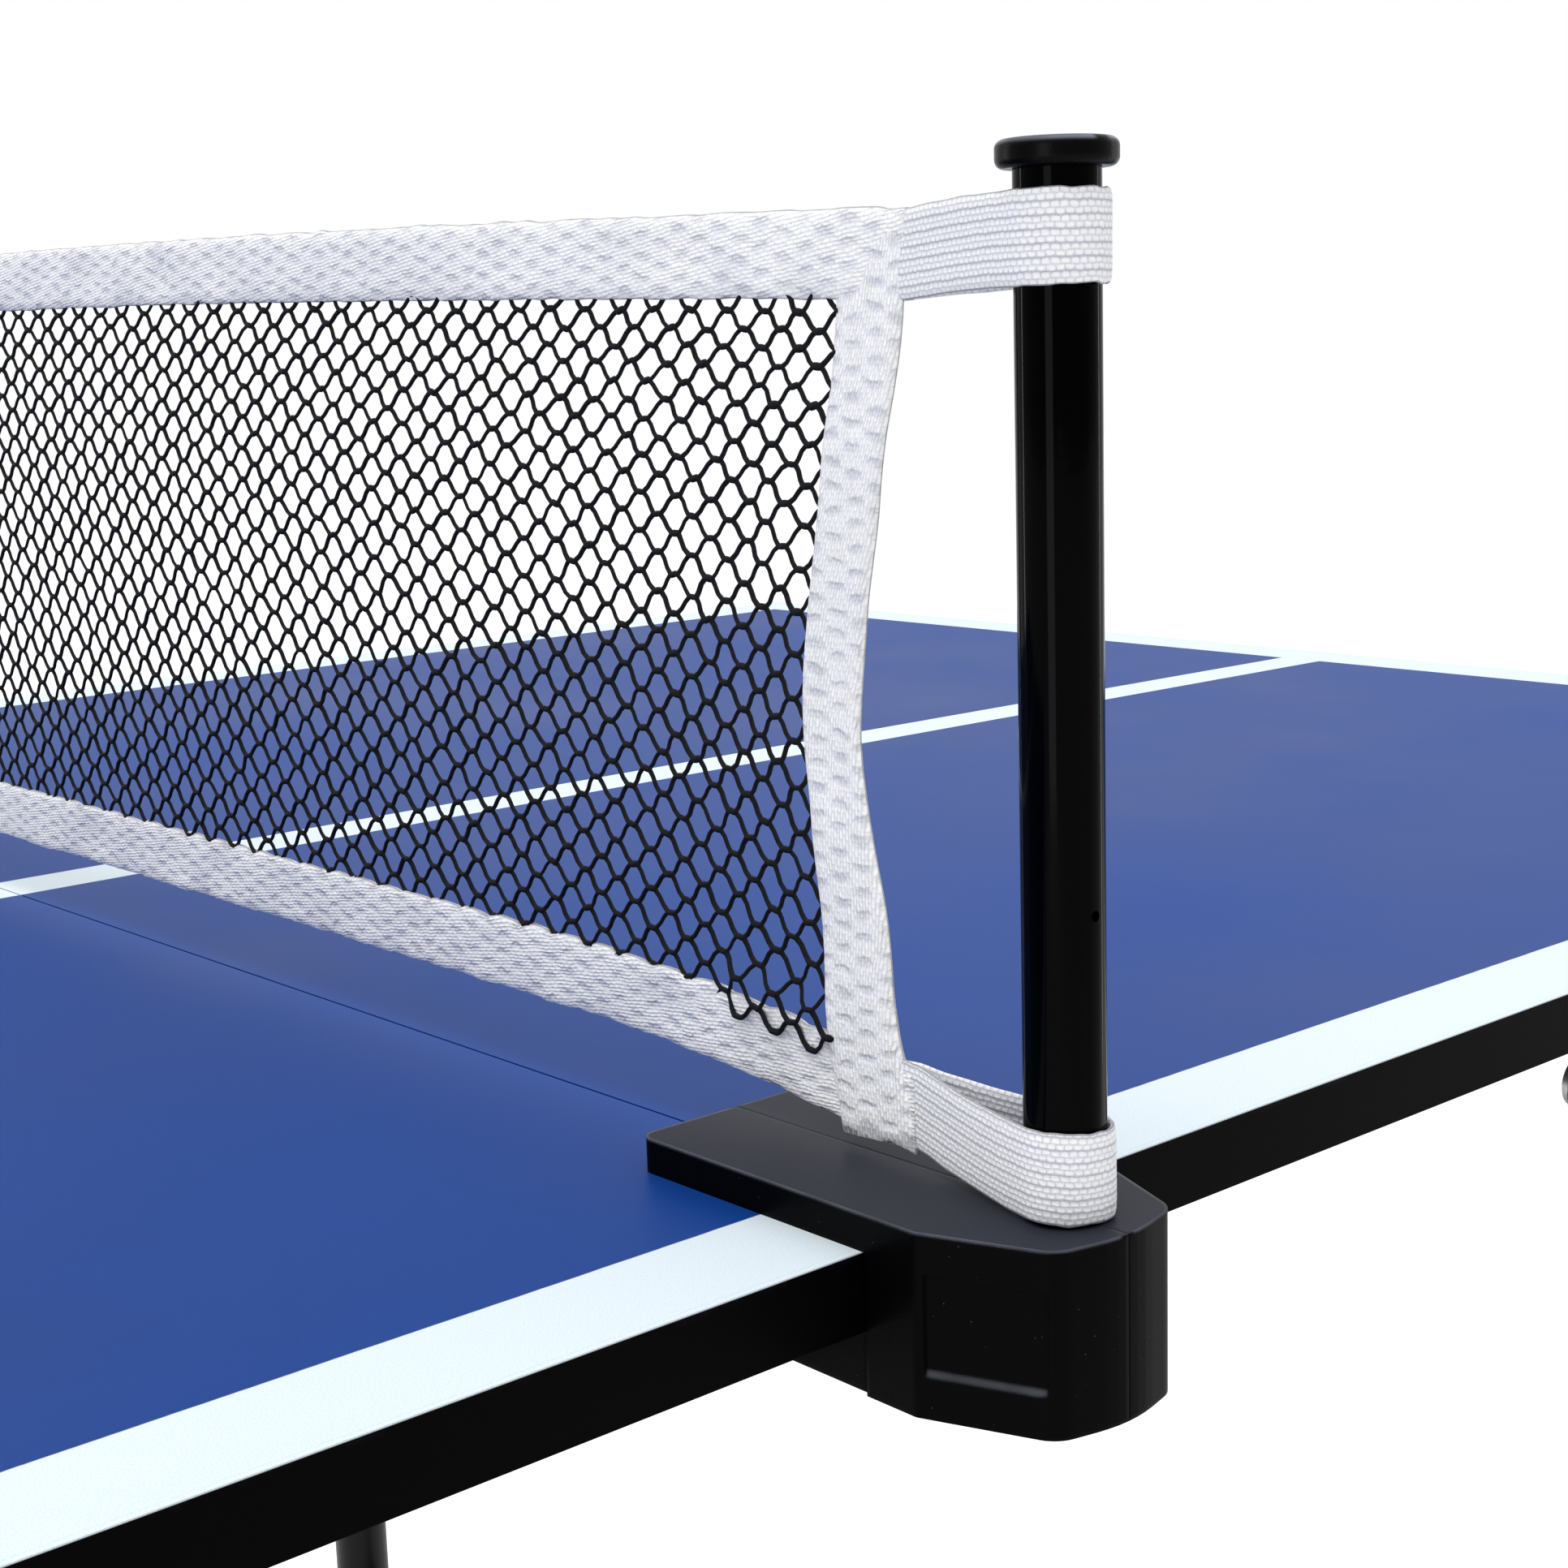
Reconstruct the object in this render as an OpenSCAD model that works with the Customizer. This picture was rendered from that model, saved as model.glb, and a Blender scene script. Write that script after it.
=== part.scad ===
// Compact ping pong table: two half tops on a steel under-frame, two folding
// leg frames with sliding stays, and a net held by two spring-clamp posts.
// Frame: +X along the table, +Y across it, +Z up, origin on the floor under the middle.

/* [Top] */
// Length of the playing surface
table_length = 1250; // [1000:10:1800]
// Width of the playing surface
table_width = 750; // [600:10:1000]
// Height of the playing surface above the floor
table_height = 680; // [600:10:780]
// Thickness of each half top
board_thickness = 14; // [12:1:22]
// Thickness of the plastic band around the boards
band_thickness = 1.5; // [0.8:0.1:3]
// Gap between the two half tops
half_gap = 0.6; // [0.2:0.1:2]

/* [Under-frame] */
// Width of the rectangular frame tube
rail_width = 20; // [16:1:30]
// Depth of the rectangular frame tube
rail_depth = 30; // [20:1:40]
// Wall of the frame tube
rail_wall = 1.5; // [1:0.1:3]
// Distance from the table's side edge to the side rails
rail_inset = 56; // [54:1:90]
// Distance from the table's end to the end rails
end_inset = 40; // [20:1:80]
// Thickness of the plates that carry the leg pivots
plate_thickness = 3; // [2:0.5:5]

/* [Leg frames] */
// Outer diameter of the leg tube
leg_diameter = 25; // [20:1:32]
// Wall of the leg and stretcher tubes
leg_wall = 1.5; // [1:0.1:3]
// Distance of the leg pivots from the middle of the table
leg_position = 300; // [260:1:320]
// Distance of the first pivot axis below the rails
pivot_drop = 14; // [13:1:30]
// Extra drop of the left pivots, so that its legs fold under the right ones
fold_stack = 28; // [27:1:40]
// Diameter of the pivot bolts
pivot_bolt_d = 8; // [6:1:10]
// Height of the stretchers above the floor
stretcher_height = 220; // [150:5:240]
// Outer diameter of the stretcher tube
stretcher_diameter = 22; // [16:1:25]

/* [Stays] */
// Distance along the leg from the pivot to the stay's rivet
stay_drop = 150; // [110:5:180]
// Distance along the rail from the pivot to the locked end of the stay
stay_reach = 200; // [160:5:230]
// Drop of the shoe's slot below the pivot, so that the folded stay clears the pivot bolt
slot_drop = 24; // [22:1:30]
// Width of the flat stay
stay_width = 14; // [10:1:16]
// Thickness of the flat stay
stay_thickness = 3; // [2:0.5:4]
// Diameter of the rivet that holds the stay
rivet_d = 6; // [5:0.5:8]

/* [Feet] */
// Diameter of the levelling feet
foot_diameter = 34; // [28:1:45]
// Height of a foot's rubber pad
foot_pad = 12; // [8:1:18]
// Diameter of a foot's stem
stem_d = 8; // [6:1:10]
// How far a foot screws out
foot_travel = 12; // [5:1:20]

/* [Net] */
// Height of the net strip with its tapes
net_strip = 152.5; // [120:0.5:160]
// Gap between the table and the net strip
net_lift = 15.5; // [12:0.5:20]
// Width of the tapes
tape_width = 14.5; // [10:0.5:20]
// Thickness of the folded tapes
tape_thickness = 1.6; // [1:0.1:3]
// Thickness of the mesh
mesh_thickness = 0.8; // [0.5:0.1:1.5]
// Distance of the net's end from the table's side edge
net_end = 8.5; // [5:0.5:20]
// How far the side tapes are pulled in at half height
net_waist = 11; // [0:0.5:18]

/* [Elastic loops] */
// Height of the elastic band
band_height = 14.2; // [10:0.1:18]
// Thickness of the elastic band
elastic_thickness = 1.2; // [0.8:0.1:2]
// Height of the lower band above the table
low_band_z = 8.2; // [7.5:0.1:14]

/* [Net posts] */
// Outer diameter of the post tube
post_diameter = 13.5; // [12:0.5:16]
// Wall of the post tube
post_wall = 1; // [0.8:0.1:2]
// Top of the post tube above the table
post_top = 171; // [165:1:190]
// Distance of the post's axis from the table's side edge
post_offset = 24; // [22:0.5:30]
// Diameter of the post's cap
cap_diameter = 18.8; // [17:0.1:24]
// Height of the post's cap
cap_height = 4.4; // [3:0.1:8]
// Height of the small cross hole in the post above the table
post_hole_z = 57; // [40:1:80]
// Diameter of the small cross hole in the post
post_hole_d = 1.8; // [1:0.1:3]

/* [Clamps] */
// Width of the clamp
clamp_width = 46; // [42:1:56]
// Reach of the clamp's top plate over the table
clamp_reach = 58; // [40:1:80]
// Thickness of the clamp's top plate
clamp_plate = 6.5; // [4:0.5:7]
// How far the nose stands out from the table's side edge
nose_reach = 38; // [36:0.5:45]
// Where the nose starts to narrow, from the table's side edge
nose_shoulder = 12; // [6:0.5:16]
// Width of the nose's front
nose_front = 28; // [20:0.5:34]
// How far the nose's front bulges out in the middle
nose_bulge = 3.5; // [0.5:0.5:5]
// Depth of the clamp's nose below the table's surface
nose_depth = 25; // [24:0.5:32]
// Corner radius of the clamp's outline
clamp_corner = 3; // [1:0.5:5]
// Depth of the finger panels in the nose
panel_depth = 0.8; // [0.4:0.1:1.5]
// Margin above and below the finger panels
panel_margin = 7; // [4:0.5:9]
// Margin at the ends of the finger panels
panel_end_margin = 1.6; // [1:0.2:4]
// Height of the sloping ledge along the finger panels' lower edge
panel_ledge = 1.5; // [0.5:0.1:3]
// Reach of the lower jaw under the table
jaw_reach = 50; // [35:1:70]
// Gap between the lower jaw and the board at rest
jaw_gap = 0.4; // [0.3:0.1:1]
// Diameter of the jaw's hinge pin
jaw_pin_d = 4; // [3:0.5:5]

/* [Hidden] */
$fn = 48;

LEFT = -1;
RIGHT = 1;
FRONT = -1;
REAR = 1;
SIDES = [LEFT, RIGHT];
ENDS = [FRONT, REAR];

half_length = table_length / 2;
half_width = table_width / 2;
underside = table_height - board_thickness;
rail_bottom = underside - rail_depth;

// General clearances
side_gap = 1;         // between flat parts that swing past each other
run_gap = 0.05;       // radial gap of a running pin
push_gap = 0.05;      // radial gap of a part pushed into its seat
cut = 1;              // overshoot of a cutting tool
eps = 0.02;

// Under-frame
rail_outer = half_width - rail_inset;
rail_inner = rail_outer - rail_width;
end_rail_x = half_length - end_inset;
joint_bolt_d = 6;
joint_head_d = 10;
joint_head_h = 4;
joint_bolt_end = 3;   // thread beyond the nut
joint_bolt_y = rail_inner / 2;
screw_d = 4;
screw_head_d = 8;
screw_head_h = 2.5;
screw_bite = 9;
screw_access_d = 9;
screw_pitch = 180;

// Leg frames: the right legs stand outside the rails and the left legs inside them
function pivot_z(sx) = rail_bottom - pivot_drop - (sx == LEFT ? fold_stack : 0);
function outward(sx) = sx;                       // +1 outside the rails, -1 inside
function plate_face(sx) = sx == RIGHT ? rail_outer : rail_inner;
function plate_mid(sx) = plate_face(sx) + outward(sx) * plate_thickness / 2;
function stay_mid(sx) = plate_face(sx)
    + outward(sx) * (plate_thickness + side_gap + stay_thickness / 2);
function leg_y(sx) = plate_face(sx)
    + outward(sx) * (plate_thickness + 2 * side_gap + stay_thickness + leg_diameter / 2);
leg_overrun = 16;     // leg tube above its pivot
leg_end_z = foot_pad + 2;
stem_bite = 18;       // stem left in the plug when a foot is fully screwed out
plug_length = foot_travel + stem_bite;
stem_top = leg_end_z + plug_length - 3;
stretcher_wall = leg_wall;
plate_edge = 12;      // plate beyond its pivot and slot
plate_top_gap = 6;    // from the plate's top to the board
plate_cutter = 18;    // length of the tools that bore the plate
pivot_head_h = 5;
pivot_head_d = 13;
pivot_spacer_d = 14;
rivet_head_h = 1.5;

// Stays: the locked end slides in the plate's slot as the legs fold
stay_rise = stay_drop - slot_drop;
stay_length = norm([stay_reach, stay_rise]);
stay_angle = atan2(stay_rise, stay_reach);
stay_slide = stay_reach + stay_drop - sqrt(stay_length * stay_length - slot_drop * slot_drop);
shoe_d = 8;
shoe_head_d = 14;
shoe_head_h = 3;

// Net set, heights above the playing surface
net_bottom = net_lift;
net_top = net_lift + net_strip;
post_y = half_width + post_offset;
socket_floor = nose_depth - 9;
post_r = post_diameter / 2;
loop_gap = 0.3;
loop_r = post_r + loop_gap;
high_band_z = net_top - band_height;
waist_steps = 12;
drop_steps = 32;      // of a loop's arc round the post
soft_gap = 0.3;       // between the mesh and its tapes
inner_low = net_bottom + tape_width;
inner_high = net_top - tape_width;

// Clamp
edge_gap = 0.5;       // nose to table edge
cavity_width = 28;
cavity_front = 15.5;
cavity_back = 2.5;
arm_width = 7;
arm_gap = 0.5;
pin_out = 9;          // hinge pin outside the table's edge
pin_down = 19;        // hinge pin below the playing surface
pin_length = 33;
jaw_top = board_thickness + jaw_gap;
clamp_screw_d = 2.6;
clamp_head_d = 5;
clamp_head_h = 2;
clamp_screw_bite = 7;
screw_recess = 1.5;
plate_screw_y = 30;
nose_screw_up = 4.5;
spring_wire = 1.2;
spring_turns = 6;
spring_pitch = 1.1;

// Round the corners of an outline, each with its own radius
function unit(v) = v / norm(v);
function corner_arc(p, q, s, r, n = 6) =
    let (a = unit(p - q), b = unit(s - q), half = acos(a * b) / 2,
         c = q + unit(a + b) * r / sin(half),
         t0 = q + a * r / tan(half), t1 = q + b * r / tan(half),
         a0 = atan2(t0.y - c.y, t0.x - c.x), d = atan2(t1.y - c.y, t1.x - c.x) - a0,
         sweep = d > 180 ? d - 360 : d < -180 ? d + 360 : d)
    [for (i = [0 : n]) c + r * [cos(a0 + sweep * i / n), sin(a0 + sweep * i / n)]];
function rounded(pts, radii) =
    let (n = len(pts))
    [for (i = [0 : n - 1])
        each (radii[i] == 0 ? [pts[i]]
            : corner_arc(pts[(i + n - 1) % n], pts[i], pts[(i + 1) % n], radii[i]))];

// A straight round bar between two Y positions
module bar_y(d, y0, y1) {
    translate([0, min(y0, y1), 0]) rotate([-90, 0, 0]) cylinder(d = d, h = abs(y1 - y0));
}

module tube_y(d, wall, y0, y1) {
    difference() {
        bar_y(d, y0, y1);
        bar_y(d - 2 * wall, min(y0, y1) - cut, max(y0, y1) + cut);
    }
}

// ---- Half tops ----

board_size = [half_length - half_gap / 2 - band_thickness, table_width - 2 * band_thickness];

function screw_spots(sx) = [for (sy = ENDS, i = [0 : 2])
    [sx * (half_length / 2 + (i - 1) * screw_pitch), sy * (rail_outer - rail_width / 2)]];

module top_board(sx) {
    color([0.16, 0.24, 0.48]) difference() {
        mirror([sx == LEFT ? 1 : 0, 0, 0])
            translate([half_gap / 2, -board_size.y / 2, underside])
                cube([board_size.x, board_size.y, board_thickness]);
        for (p = screw_spots(sx)) translate([p.x, p.y, underside - cut])
            cylinder(d = screw_d, h = screw_bite + cut);
    }
}

module edge_band(sx) {
    color([0.04, 0.04, 0.045]) mirror([sx == LEFT ? 1 : 0, 0, 0]) difference() {
        translate([half_gap / 2, -half_width, underside])
            cube([half_length - half_gap / 2, table_width, board_thickness]);
        translate([half_gap / 2 - cut, -board_size.y / 2, underside - cut])
            cube([board_size.x + cut, board_size.y, board_thickness + 2 * cut]);
    }
}

// ---- Under-frame ----

// A rectangular tube along X from x0 to x1, centred on y
module rail_x(x0, x1, y) {
    translate([x0, y - rail_width / 2, rail_bottom]) difference() {
        cube([x1 - x0, rail_width, rail_depth]);
        translate([-cut, rail_wall, rail_wall])
            cube([x1 - x0 + 2 * cut, rail_width - 2 * rail_wall, rail_depth - 2 * rail_wall]);
    }
}

module side_rail(sx, sy) {
    y = sy * (rail_outer - rail_width / 2);
    color([0.07, 0.07, 0.075]) difference() {
        mirror([sx == LEFT ? 1 : 0, 0, 0]) rail_x(half_gap / 2, end_rail_x, y);
        for (p = screw_spots(sx)) if (p.y * sy > 0)
            translate([p.x, p.y, rail_bottom - cut]) cylinder(d = screw_d, h = rail_depth + 2 * cut);
        for (p = screw_spots(sx)) if (p.y * sy > 0)
            translate([p.x, p.y, rail_bottom - cut])
                cylinder(d = screw_access_d, h = rail_wall + 2 * cut);
    }
}

// A rectangular tube across the table between the side rails, its middle at x
module cross_rail(x, bored) {
    color([0.07, 0.07, 0.075]) translate([x, 0, 0]) difference() {
        translate([-rail_width / 2, -rail_inner, rail_bottom])
            cube([rail_width, 2 * rail_inner, rail_depth]);
        translate([-rail_width / 2 + rail_wall, -rail_inner - cut, rail_bottom + rail_wall])
            cube([rail_width - 2 * rail_wall, 2 * (rail_inner + cut), rail_depth - 2 * rail_wall]);
        if (bored) for (sy = ENDS)
            translate([-rail_width, sy * joint_bolt_y, underside - rail_depth / 2])
                rotate([0, 90, 0]) cylinder(d = joint_bolt_d, h = 2 * rail_width);
    }
}

function centre_rail_x(sx) = sx * (half_gap / 2 + rail_width / 2);
function end_rail_mid(sx) = sx * (end_rail_x - rail_width / 2);

module joining_bolts() {
    grip = 2 * rail_width + half_gap;
    color([0.72, 0.73, 0.75]) for (sy = ENDS)
        translate([0, sy * joint_bolt_y, underside - rail_depth / 2]) rotate([0, 90, 0]) {
            for (z = [-grip / 2 - joint_head_h, grip / 2]) translate([0, 0, z])
                cylinder(d = joint_head_d, h = joint_head_h, $fn = 6);
            translate([0, 0, -grip / 2 - eps])
                cylinder(d = joint_bolt_d - 2 * push_gap, h = grip + joint_head_h + joint_bolt_end);
        }
}

module board_screws() {
    color([0.72, 0.73, 0.75]) for (sx = SIDES, p = screw_spots(sx))
        translate([p.x, p.y, underside - rail_wall - push_gap]) {
            translate([0, 0, -screw_head_h]) cylinder(d = screw_head_d, h = screw_head_h);
            translate([0, 0, -eps])
                cylinder(d = screw_d - 2 * push_gap, h = rail_wall + screw_bite - 1);
        }
}

// The plate on a side rail: pivot hole for the leg and slot for the stay's shoe
module pivot_plate(sx, sy) {
    z = pivot_z(sx);
    slot_end = leg_position + stay_reach;
    slot_start = slot_end - stay_slide;
    top = underside - plate_top_gap;
    color([0.09, 0.09, 0.095]) difference() {
        translate([0, sy * plate_mid(sx) + plate_thickness / 2, 0]) rotate([90, 0, 0])
            linear_extrude(height = plate_thickness) mirror([sx == LEFT ? 1 : 0, 0])
                polygon(rounded([[leg_position - plate_edge, top],
                        [leg_position - plate_edge, z - plate_edge],
                        [leg_position + plate_edge, z - plate_edge],
                        [slot_start - plate_edge, z - slot_drop - plate_edge],
                        [slot_end + plate_edge, z - slot_drop - plate_edge],
                        [slot_end + plate_edge, top]], [0, plate_edge, 6, 6, plate_edge, 0]));
        translate([sx * leg_position, 0, z])
            bar_y(pivot_bolt_d, sy * (plate_mid(sx) - plate_cutter / 2),
                sy * (plate_mid(sx) + plate_cutter / 2));
        translate([0, sy * plate_mid(sx) + plate_cutter / 2, z - slot_drop]) rotate([90, 0, 0])
            linear_extrude(height = plate_cutter) mirror([sx == LEFT ? 1 : 0, 0]) union() {
                for (x = [slot_start, slot_end])
                    translate([x, 0]) circle(d = shoe_d + 2 * run_gap);
                translate([slot_start, -shoe_d / 2 - run_gap])
                    square([stay_slide, shoe_d + 2 * run_gap]);
            }
    }
}

// ---- Leg frames ----

module leg(sx, sy) {
    y = sy * leg_y(sx);
    color([0.06, 0.06, 0.065]) difference() {
        translate([sx * leg_position, y, leg_end_z])
            cylinder(d = leg_diameter, h = pivot_z(sx) + leg_overrun - leg_end_z);
        translate([sx * leg_position, y, leg_end_z - cut])
            cylinder(d = leg_diameter - 2 * leg_wall, h = table_height);
        translate([sx * leg_position, 0, pivot_z(sx)])
            bar_y(pivot_bolt_d + 2 * run_gap, y - leg_diameter, y + leg_diameter);
        translate([sx * leg_position, 0, pivot_z(sx) - stay_drop])
            bar_y(rivet_d, y - leg_diameter, y + leg_diameter);
    }
}

module stretcher(sx) {
    color([0.06, 0.06, 0.065]) difference() {
        translate([sx * leg_position, 0, stretcher_height])
            tube_y(stretcher_diameter, stretcher_wall, -leg_y(sx), leg_y(sx));
        for (sy = ENDS) translate([sx * leg_position, sy * leg_y(sx), 0])
            cylinder(d = leg_diameter, h = table_height);
    }
}

module pivot_bolt(sx, sy) {
    s = sy * outward(sx);
    inner = sy * plate_face(sx);
    outer = sy * leg_y(sx) + s * leg_diameter / 2;
    spacer = 2 * side_gap + stay_thickness;
    translate([sx * leg_position, 0, pivot_z(sx)]) {
        bar_y(pivot_bolt_d - 2 * push_gap, inner - s * pivot_head_h, outer + s * 2);
        bar_y(pivot_head_d, inner - s * pivot_head_h, inner - s * push_gap);
        bar_y(pivot_head_d, outer + s * 0.3, outer + s * (0.3 + pivot_head_h));
        bar_y(pivot_spacer_d, inner + s * (plate_thickness + push_gap),
            inner + s * (plate_thickness + spacer - 0.3));
    }
}

module leg_pivot_bolts() {
    color([0.6, 0.61, 0.63]) for (sx = SIDES, sy = ENDS) pivot_bolt(sx, sy);
}

// Flat bars from the legs up to the shoes
module stays(sx) {
    hole_d = rivet_d + 2 * run_gap;
    color([0.6, 0.61, 0.63]) for (sy = ENDS)
        translate([sx * leg_position, sy * stay_mid(sx) + stay_thickness / 2, pivot_z(sx) - stay_drop])
            rotate([90, 0, 0]) linear_extrude(height = stay_thickness)
                mirror([sx == LEFT ? 1 : 0, 0]) rotate(stay_angle) difference() {
                    union() {
                        translate([0, -stay_width / 2]) square([stay_length, stay_width]);
                        for (x = [0, stay_length]) translate([x, 0]) circle(d = stay_width);
                    }
                    circle(d = hole_d);
                    translate([stay_length, 0]) circle(d = hole_d);
                }
}

module stay_rivets(sx) {
    color([0.6, 0.61, 0.63]) for (sy = ENDS) {
        s = sy * outward(sx);
        leg_in = sy * leg_y(sx) - s * leg_diameter / 2;
        leg_out = sy * leg_y(sx) + s * leg_diameter / 2;
        stay_in = sy * stay_mid(sx) - s * stay_thickness / 2;
        translate([sx * leg_position, 0, pivot_z(sx) - stay_drop]) {
            bar_y(rivet_d - 2 * push_gap, stay_in - s * 0.3, leg_out + s * rivet_head_h);
            bar_y(rivet_d * 1.7, stay_in - s * 0.3, stay_in - s * (side_gap - 0.2));
            bar_y(rivet_d * 1.7, leg_out + s * 0.05, leg_out + s * rivet_head_h);
            bar_y(rivet_d * 1.7, leg_in - s * 0.05, leg_in - s * (side_gap - 0.3));
        }
    }
}

// Shoes that slide in the plate slots; the stay's end lies just beside each of them
module slide_shoes(sx) {
    color([0.1, 0.1, 0.1]) for (sy = ENDS) {
        s = sy * outward(sx);
        face = sy * plate_face(sx);
        translate([sx * (leg_position + stay_reach), 0, pivot_z(sx) - slot_drop]) {
            bar_y(shoe_d, face - s * shoe_head_h, face + s * (plate_thickness + 0.6));
            bar_y(shoe_head_d, face - s * shoe_head_h, face - s * run_gap);
        }
    }
}

module leg_plugs(sx) {
    color([0.12, 0.12, 0.12]) for (sy = ENDS)
        translate([sx * leg_position, sy * leg_y(sx), leg_end_z]) difference() {
            cylinder(d = leg_diameter - 2 * leg_wall - 2 * push_gap, h = plug_length);
            translate([0, 0, -cut]) cylinder(d = stem_d + 2 * run_gap, h = plug_length + 2 * cut);
        }
}

module foot(sx, sy) {
    lip = 1.5;
    color([0.08, 0.08, 0.08]) translate([sx * leg_position, sy * leg_y(sx), 0]) {
        rotate_extrude() polygon([[0, 0], [foot_diameter / 2 - lip, 0], [foot_diameter / 2, lip],
            [foot_diameter / 2 - lip, foot_pad - lip], [foot_diameter / 2 - 3 * lip, foot_pad],
            [stem_d / 2, foot_pad], [stem_d / 2, stem_top],
            [0, stem_top]]);
    }
}

// ---- Net clamps and posts ----

// Places a front-side piece on either side of the table.  Inside, y is the
// distance outwards from the table's side edge and z is up from the surface.
module at_edge(sy) {
    translate([0, sy * half_width, table_height]) mirror([0, sy == FRONT ? 1 : 0, 0]) children();
}

function clamp_outline() = rounded([[-clamp_width / 2, -clamp_reach],
    [clamp_width / 2, -clamp_reach], [clamp_width / 2, nose_shoulder],
    [nose_front / 2, nose_reach - nose_bulge], [0, nose_reach],
    [-nose_front / 2, nose_reach - nose_bulge], [-clamp_width / 2, nose_shoulder]],
    [clamp_corner, clamp_corner, clamp_corner, 2 * clamp_corner, nose_front, 2 * clamp_corner,
        clamp_corner]);

// Shallow finger panel in one slanted face of the nose
module finger_panel(side) {
    a = [clamp_width / 2, nose_shoulder];
    b = [nose_front / 2, nose_reach - nose_bulge];
    run = norm(b - a);
    turn = atan2(b.y - a.y, b.x - a.x);
    low = -nose_depth + panel_margin;
    high = clamp_plate - panel_margin;
    mirror([side == LEFT ? 1 : 0, 0, 0]) translate([a.x, a.y, 0]) rotate(turn)
        translate([panel_end_margin, 0, 0]) rotate([90, 0, 90])
            linear_extrude(height = run - 2 * panel_end_margin)
                polygon([[-cut, low - cut * panel_ledge / panel_depth], [panel_depth, low + panel_ledge],
                    [panel_depth, high], [-cut, high]]);
}

module clamp_body() {
    difference() {
        union() {
            linear_extrude(height = clamp_plate) polygon(clamp_outline());
            translate([0, 0, -nose_depth]) linear_extrude(height = nose_depth + eps)
                intersection() {
                    polygon(clamp_outline());
                    translate([-clamp_width, edge_gap]) square([2 * clamp_width, nose_reach]);
                }
        }
        // post socket
        translate([0, post_offset, -socket_floor])
            cylinder(r = post_r + push_gap, h = nose_depth + clamp_plate);
        // room for the jaw's arms and the spring, open towards the board and below
        translate([-cavity_width / 2, -cut, -nose_depth - cut])
            cube([cavity_width, cavity_front + cut, nose_depth - cavity_back + cut]);
        // hinge pin
        translate([-pin_length / 2, pin_out, -pin_down])
            rotate([0, 90, 0]) cylinder(r = jaw_pin_d / 2 + push_gap, h = pin_length);
        for (s = SIDES) finger_panel(s);
        // screws that hold the two shells together
        for (p = clamp_screw_spots())
            translate([0, p.x, p.y]) rotate([0, 90, 0]) {
                translate([0, 0, -clamp_screw_bite - 1]) cylinder(d = clamp_screw_d, h = clamp_width);
                translate([0, 0, screw_seat(p.x)]) cylinder(d = clamp_head_d, h = clamp_width);
            }
    }
}

// X of the seat under a clamp screw's head, at distance y outside the edge
function nose_half_width(y) = y < nose_shoulder ? clamp_width / 2
    : clamp_width / 2 - (clamp_width - nose_front) / 2 * (y - nose_shoulder)
        / (nose_reach - nose_bulge - nose_shoulder);
function screw_seat(y) = nose_half_width(y) - clamp_head_h - screw_recess;

// The two screws of a clamp: distance outside the table's edge and height
function clamp_screw_spots() = [[post_offset, -nose_depth + nose_screw_up],
    [-plate_screw_y, clamp_plate / 2]];

module clamp_shell(sy, side) {
    color([0.07, 0.07, 0.075]) at_edge(sy) intersection() {
        clamp_body();
        translate([side == LEFT ? -clamp_width : 0, -clamp_reach - cut, -nose_depth - cut])
            cube([clamp_width, clamp_reach + nose_reach + 2 * cut, nose_depth + clamp_plate + 2 * cut]);
    }
}

module clamp_screws() {
    color([0.7, 0.71, 0.73]) for (sy = ENDS) at_edge(sy)
        for (p = clamp_screw_spots())
            translate([0, p.x, p.y]) rotate([0, 90, 0]) {
                translate([0, 0, -clamp_screw_bite]) cylinder(d = clamp_screw_d - 2 * push_gap,
                    h = clamp_screw_bite + screw_seat(p.x) + 1);
                translate([0, 0, screw_seat(p.x) + push_gap])
                    cylinder(d = clamp_head_d - 2 * push_gap, h = clamp_head_h - push_gap);
            }
}

// Lower jaw: a plate under the board and two arms up to the hinge pin
module jaw(sy) {
    arm_r = 5;
    arm_x = cavity_width / 2 - arm_gap - arm_width / 2;
    width = clamp_width - 2;
    color([0.06, 0.06, 0.065]) at_edge(sy) difference() {
        union() {
            translate([-width / 2, -jaw_reach, -nose_depth])
                cube([width, jaw_reach - edge_gap, nose_depth - jaw_top]);
            for (s = SIDES) translate([s * arm_x - arm_width / 2, 0, 0]) {
                translate([0, pin_out, -pin_down]) rotate([0, 90, 0]) cylinder(r = arm_r, h = arm_width);
                translate([0, -2 * edge_gap, -nose_depth + 1])
                    cube([arm_width, pin_out + 2 * edge_gap, 2 * arm_r - 1]);
            }
        }
        translate([-width, pin_out, -pin_down]) rotate([0, 90, 0])
            cylinder(r = jaw_pin_d / 2 + run_gap, h = 2 * width);
    }
}

module jaw_pins() {
    color([0.75, 0.76, 0.78]) for (sy = ENDS) at_edge(sy)
        translate([-pin_length / 2 + push_gap, pin_out, -pin_down]) rotate([0, 90, 0])
            cylinder(d = jaw_pin_d, h = pin_length - 2 * push_gap);
}

// Close-wound torsion spring around the pin, between the jaw's arms
module jaw_springs() {
    mean_r = jaw_pin_d / 2 + spring_wire / 2 + 0.3;
    color([0.75, 0.76, 0.78]) for (sy = ENDS) at_edge(sy)
        translate([-(spring_turns - 1) * spring_pitch / 2, pin_out, -pin_down]) rotate([0, 90, 0])
            for (i = [0 : spring_turns - 1]) translate([0, 0, i * spring_pitch])
                rotate_extrude() translate([mean_r, 0]) circle(d = spring_wire, $fn = 20);
}

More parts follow.
